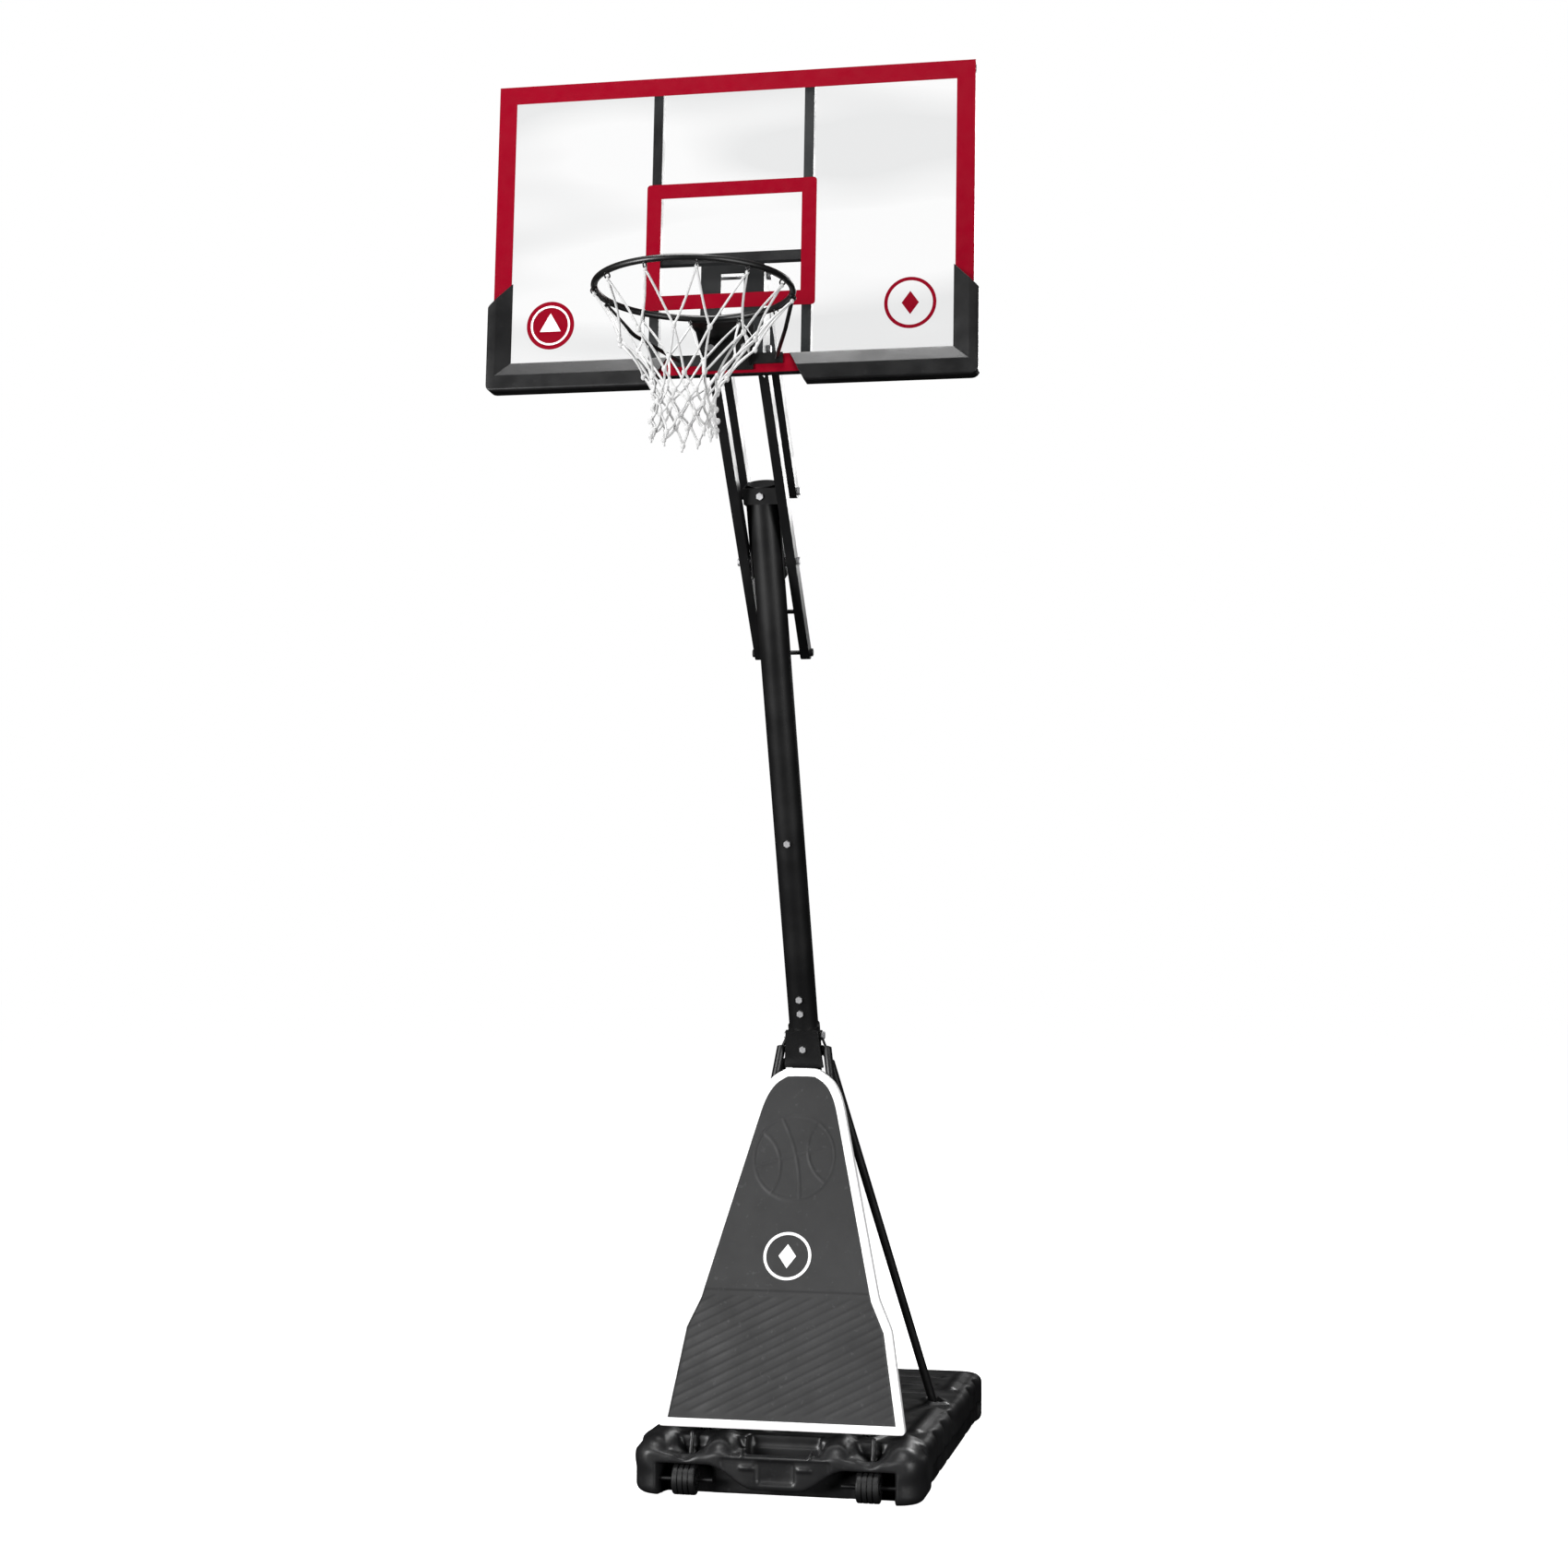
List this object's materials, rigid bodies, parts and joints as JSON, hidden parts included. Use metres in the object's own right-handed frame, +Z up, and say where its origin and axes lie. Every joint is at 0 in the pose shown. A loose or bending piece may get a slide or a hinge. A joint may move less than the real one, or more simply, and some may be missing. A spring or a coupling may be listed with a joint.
{
  "type": "portable basketball hoop",
  "caption": "Free-standing goal on a ballast tank with wheels: a leaning pole, parallel lift arms that lower a clear backboard, and a ring with a net.",
  "frame": {"origin": "on the floor, right under the pole's foot axle", "axes": "+Z up, the ring faces -Y, +X to the right of someone facing the board"},
  "size_m": [1.272, 2.7337, 3.7291],
  "materials": {
    "black_steel": "black powder coat",
    "bolt_steel": "dull zinc",
    "ring_steel": "satin black paint",
    "tank_plastic": "moulded, fine grain",
    "shield_plastic": "moulded, satin",
    "white_trim": "printed white band",
    "pad_plastic": "moulded, satin",
    "small_plastic": "moulded",
    "wheel_plastic": "moulded",
    "clear_acrylic": "clear, polished",
    "red_print": "gloss print",
    "net_cord": "knotted white cord",
    "ballast": "clear liquid"
  },
  "bodies": {
    "stand": {"ballast_water": "ballast", "base_tank": "tank_plastic", "collar_bolts": "bolt_steel", "front_shield": "shield_plastic", "front_strut_left": "black_steel", "front_strut_right": "black_steel", "lock_fin": "black_steel", "long_arm_pivot_bolt": "bolt_steel", "pivot_spacers": "bolt_steel", "pole_bolts": "bolt_steel", "pole_foot_axle": "bolt_steel", "pole_lower": "black_steel", "pole_middle": "black_steel", "pole_top_cap": "small_plastic", "pole_upper": "black_steel", "rear_strut_left": "black_steel", "rear_strut_right": "black_steel", "shield_clips": "shield_plastic", "shield_trim": "white_trim", "short_arm_pivot_bolt": "bolt_steel", "strut_collar": "black_steel", "top_bracket": "black_steel", "wheel_axles": "bolt_steel"},
    "lift_arms": {"long_arm_left": "black_steel", "long_arm_right": "black_steel", "arm_tail_rod": "bolt_steel", "lock_pin": "bolt_steel", "lock_block": "black_steel"},
    "short_arms": {"short_arm_left": "black_steel", "short_arm_right": "black_steel"},
    "board": {"backboard_sheet": "clear_acrylic", "border_print": "red_print", "target_print": "red_print", "frame_rail_top": "black_steel", "frame_rail_bottom": "black_steel", "frame_rail_left": "black_steel", "frame_rail_right": "black_steel", "frame_upright_left": "black_steel", "frame_upright_right": "black_steel", "frame_cross_bar": "black_steel", "board_bracket": "black_steel", "board_pivot_bolts": "bolt_steel", "pad_left": "pad_plastic", "pad_right": "pad_plastic", "ring": "ring_steel", "ring_bracket": "ring_steel", "ring_bolts": "bolt_steel", "ring_brace_left": "ring_steel", "ring_brace_right": "ring_steel", "net_hooks": "ring_steel", "net": "net_cord"},
    "wheel_left": {"wheel_left": "wheel_plastic"},
    "wheel_right": {"wheel_right": "wheel_plastic"},
    "filler_cap": {"filler_cap": "small_plastic"},
    "lock_knob": {"lock_knob": "small_plastic"}
  },
  "joints": [
    {"name": "height_adjust", "type": "hinge", "parent": "stand", "child": "lift_arms", "pos_m": [0, -1.062, 2.546], "axis": [1, 0, 0], "range_deg": [0, 60]},
    {"name": "short_arm_swing", "type": "hinge", "parent": "stand", "child": "short_arms", "pos_m": [0, -1.062, 2.737], "axis": [1, 0, 0], "range_deg": [0, 60]},
    {"name": "board_level", "type": "hinge", "parent": "lift_arms", "child": "board", "pos_m": [0, -1.49359, 3.02533], "axis": [1, 0, 0], "range_deg": [-60, 0]},
    {"name": "lock_knob_turn", "type": "hinge", "parent": "lift_arms", "child": "lock_knob", "pos_m": [0, -0.92282, 2.39143], "axis": [0, 0.6691, -0.7431], "range_deg": [-360, 0]},
    {"name": "wheel_left_roll", "type": "hinge", "parent": "stand", "child": "wheel_left", "pos_m": [-0.255, -0.866, 0.044], "axis": [1, 0, 0], "continuous": true},
    {"name": "wheel_right_roll", "type": "hinge", "parent": "stand", "child": "wheel_right", "pos_m": [0.255, -0.866, 0.044], "axis": [1, 0, 0], "continuous": true},
    {"name": "filler_cap_turn", "type": "hinge", "parent": "stand", "child": "filler_cap", "pos_m": [-0.338, 0.3, 0.15], "axis": [0, 0, 1], "range_deg": [0, 450]}
  ],
  "couplings": [
    {"joint": "short_arm_swing", "follows": "height_adjust", "ratio": 1},
    {"joint": "board_level", "follows": "height_adjust", "ratio": -1}
  ]
}
